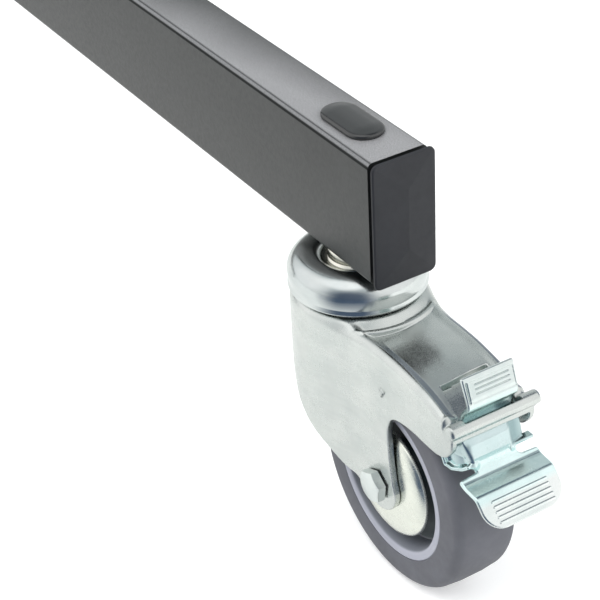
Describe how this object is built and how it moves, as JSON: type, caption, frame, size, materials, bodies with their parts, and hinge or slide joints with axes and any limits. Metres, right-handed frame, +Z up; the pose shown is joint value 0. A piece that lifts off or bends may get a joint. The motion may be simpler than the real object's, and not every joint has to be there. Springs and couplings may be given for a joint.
{
  "type": "roller stand for lights",
  "caption": "Three-legged rolling light stand: rectangular steel legs on braked swivel castors carry a telescopic column with locking collars and a top spigot.",
  "frame": {"origin": "on the floor, at the centre of the footprint box of the stand with its castors trailing outward", "axes": "+Z up along the column, +X out along leg 1, which is the leg in the picture"},
  "size_m": [0.8876, 1.0224, 1.2365],
  "materials": {
    "black_powder_coat": "satin powder coat",
    "cap_plastic": "moulded matt",
    "plug_rubber": "satin",
    "zinc_plate": "bright zinc plated pressed sheet",
    "zinc_fasteners": "zinc plated",
    "bearing_steel": "ground",
    "wheel_plastic": "moulded",
    "tread_rubber": "smooth matt",
    "chromed_tube": "polished",
    "cast_black": "textured",
    "knob_black": "satin",
    "spigot_steel": "machined"
  },
  "bodies": {
    "root": {"leg_1": "black_powder_coat", "leg_2": "black_powder_coat", "leg_3": "black_powder_coat", "end_caps": "cap_plastic", "hole_plugs": "plug_rubber", "stem_bolts": "zinc_fasteners", "stem_nuts": "zinc_fasteners", "hub_top_plate": "black_powder_coat", "hub_bottom_plate": "black_powder_coat", "hub_bolts": "zinc_fasteners", "column_tube": "black_powder_coat", "column_collar": "cast_black", "castor_1_head": "zinc_plate", "castor_1_ball_race": "bearing_steel", "castor_1_kingpin": "zinc_plate", "castor_2_head": "zinc_plate", "castor_2_ball_race": "bearing_steel", "castor_2_kingpin": "zinc_plate", "castor_3_head": "zinc_plate", "castor_3_ball_race": "bearing_steel", "castor_3_kingpin": "zinc_plate"},
    "column_knob": {"column_knob": "knob_black"},
    "riser_1": {"riser_1": "chromed_tube", "riser_collar": "cast_black"},
    "riser_knob": {"riser_knob": "knob_black"},
    "riser_2": {"riser_2": "chromed_tube", "spigot": "spigot_steel"},
    "castor_1_swivel": {"castor_1_fork": "zinc_plate", "castor_1_axle_bolt": "zinc_fasteners", "castor_1_axle_nut": "zinc_fasteners", "castor_1_axle_sleeve": "bearing_steel", "castor_1_thread_guards": "zinc_plate", "castor_1_lever_pin": "zinc_fasteners"},
    "castor_1_wheel": {"castor_1_wheel_centre": "wheel_plastic", "castor_1_tread": "tread_rubber"},
    "castor_1_brake": {"castor_1_brake_lever": "zinc_plate", "castor_1_brake_shoe": "zinc_plate"},
    "castor_2_swivel": {"castor_2_fork": "zinc_plate", "castor_2_axle_bolt": "zinc_fasteners", "castor_2_axle_nut": "zinc_fasteners", "castor_2_axle_sleeve": "bearing_steel", "castor_2_thread_guards": "zinc_plate", "castor_2_lever_pin": "zinc_fasteners"},
    "castor_2_wheel": {"castor_2_wheel_centre": "wheel_plastic", "castor_2_tread": "tread_rubber"},
    "castor_2_brake": {"castor_2_brake_lever": "zinc_plate", "castor_2_brake_shoe": "zinc_plate"},
    "castor_3_swivel": {"castor_3_fork": "zinc_plate", "castor_3_axle_bolt": "zinc_fasteners", "castor_3_axle_nut": "zinc_fasteners", "castor_3_axle_sleeve": "bearing_steel", "castor_3_thread_guards": "zinc_plate", "castor_3_lever_pin": "zinc_fasteners"},
    "castor_3_wheel": {"castor_3_wheel_centre": "wheel_plastic", "castor_3_tread": "tread_rubber"},
    "castor_3_brake": {"castor_3_brake_lever": "zinc_plate", "castor_3_brake_shoe": "zinc_plate"}
  },
  "joints": [
    {"name": "castor_1_swivel_turn", "type": "hinge", "parent": "root", "child": "castor_1_swivel", "pos_m": [0.32633, 0, 0.122], "axis": [0, 0, 1], "continuous": true},
    {"name": "castor_1_wheel_roll", "type": "hinge", "parent": "castor_1_swivel", "child": "castor_1_wheel", "pos_m": [0.36734, 0, 0.051], "axis": [0, 1, 0], "continuous": true},
    {"name": "castor_1_brake_press", "type": "hinge", "parent": "castor_1_swivel", "child": "castor_1_brake", "pos_m": [0.40984, 0, 0.1024], "axis": [0, 1, 0], "range_deg": [0, 10]},
    {"name": "castor_2_swivel_turn", "type": "hinge", "parent": "root", "child": "castor_2_swivel", "pos_m": [-0.36891, 0.4014, 0.122], "axis": [0, 0, 1], "continuous": true},
    {"name": "castor_2_wheel_roll", "type": "hinge", "parent": "castor_2_swivel", "child": "castor_2_wheel", "pos_m": [-0.38942, 0.43691, 0.051], "axis": [-0.866, -0.5, 0], "continuous": true},
    {"name": "castor_2_brake_press", "type": "hinge", "parent": "castor_2_swivel", "child": "castor_2_brake", "pos_m": [-0.41067, 0.47372, 0.1024], "axis": [-0.866, -0.5, 0], "range_deg": [0, 10]},
    {"name": "castor_3_swivel_turn", "type": "hinge", "parent": "root", "child": "castor_3_swivel", "pos_m": [-0.36891, -0.4014, 0.122], "axis": [0, 0, 1], "continuous": true},
    {"name": "castor_3_wheel_roll", "type": "hinge", "parent": "castor_3_swivel", "child": "castor_3_wheel", "pos_m": [-0.38942, -0.43691, 0.051], "axis": [0.866, -0.5, 0], "continuous": true},
    {"name": "castor_3_brake_press", "type": "hinge", "parent": "castor_3_swivel", "child": "castor_3_brake", "pos_m": [-0.41067, -0.47372, 0.1024], "axis": [0.866, -0.5, 0], "range_deg": [0, 10]},
    {"name": "column_knob_turn", "type": "hinge", "parent": "root", "child": "column_knob", "pos_m": [-0.13717, 0, 0.9855], "axis": [1, 0, 0], "range_deg": [0, 180]},
    {"name": "riser_1_lift", "type": "slide", "parent": "root", "child": "riser_1", "axis": [0, 0, 1], "range_m": [0, 0.56]},
    {"name": "riser_2_lift", "type": "slide", "parent": "riser_1", "child": "riser_2", "axis": [0, 0, 1], "range_m": [0, 0.52]},
    {"name": "riser_knob_turn", "type": "hinge", "parent": "riser_1", "child": "riser_knob", "pos_m": [-0.13717, 0, 1.0755], "axis": [1, 0, 0], "range_deg": [0, 180]}
  ]
}
